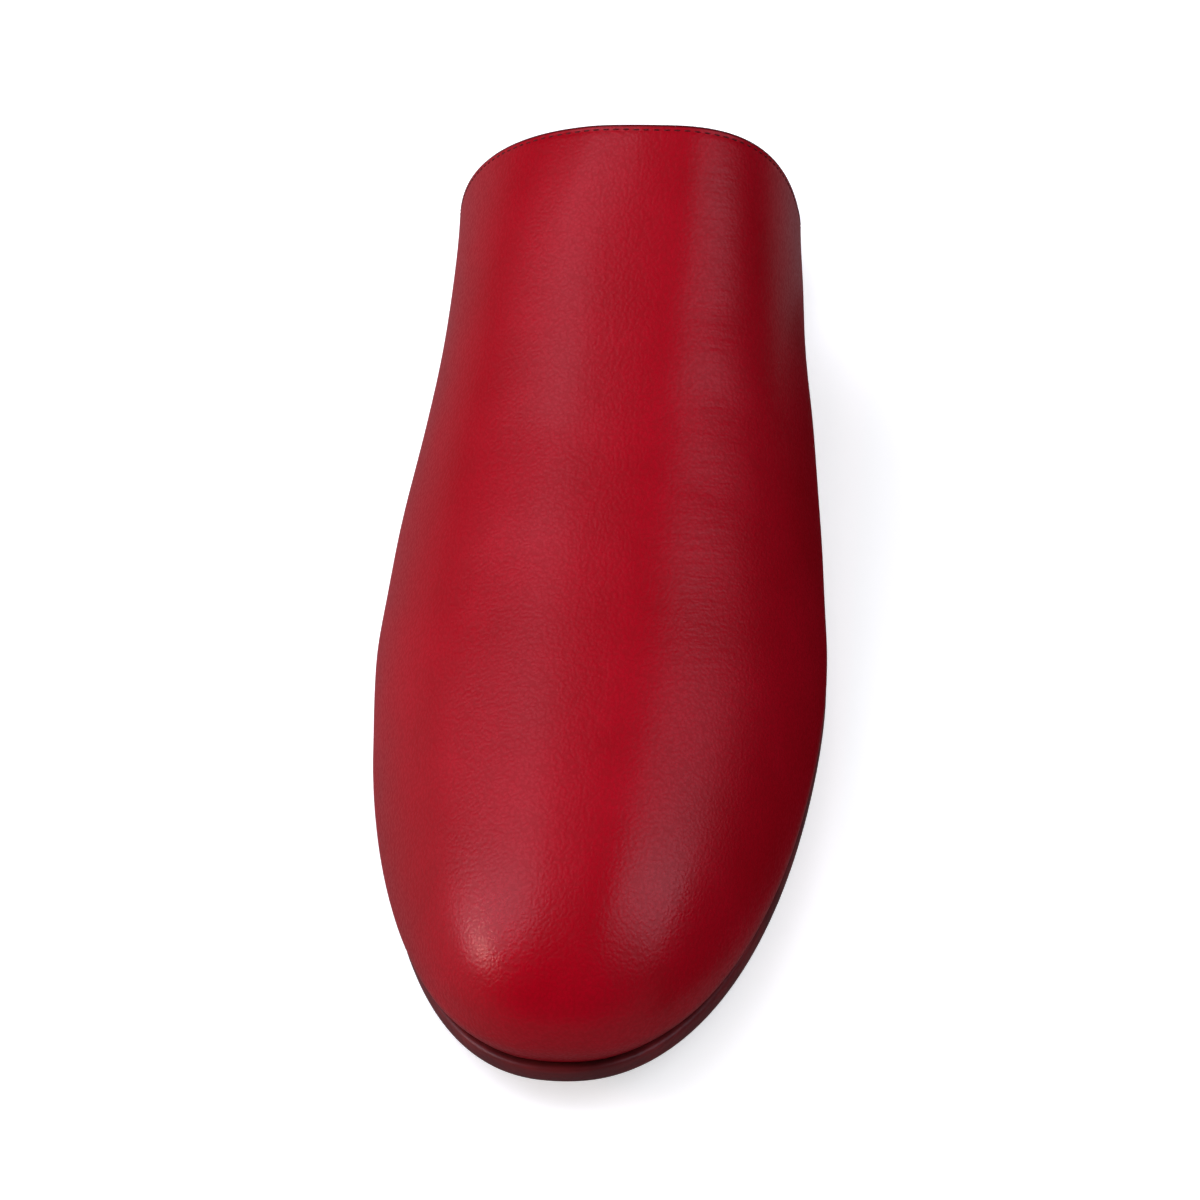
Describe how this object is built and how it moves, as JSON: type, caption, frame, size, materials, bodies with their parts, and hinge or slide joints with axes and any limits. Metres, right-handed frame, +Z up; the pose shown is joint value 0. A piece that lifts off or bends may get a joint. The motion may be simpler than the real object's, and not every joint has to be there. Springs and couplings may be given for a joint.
{
  "type": "leather mule shoe",
  "caption": "Backless round-toe leather mule with a high vamp that rises to the instep, a slim leather sole with toe spring and a low stacked heel.",
  "frame": {"origin": "centre of the bounding box, on the floor", "axes": "+Z up, the toe towards -Y, the heel towards +Y, +X to the big toe's side"},
  "size_m": [0.0926, 0.253, 0.0926],
  "materials": {
    "upper_leather": "smooth semi-gloss red calf with fine grain",
    "insole_leather": "matte natural tan leather",
    "sole_leather": "burnished dark brown sole leather",
    "heel_rubber": "matte black rubber"
  },
  "bodies": {
    "root": {"upper": "upper_leather", "insole": "insole_leather", "outsole": "sole_leather", "heel_lift_low": "sole_leather", "heel_lift_high": "sole_leather", "heel_top_lift": "heel_rubber"}
  },
  "joints": []
}
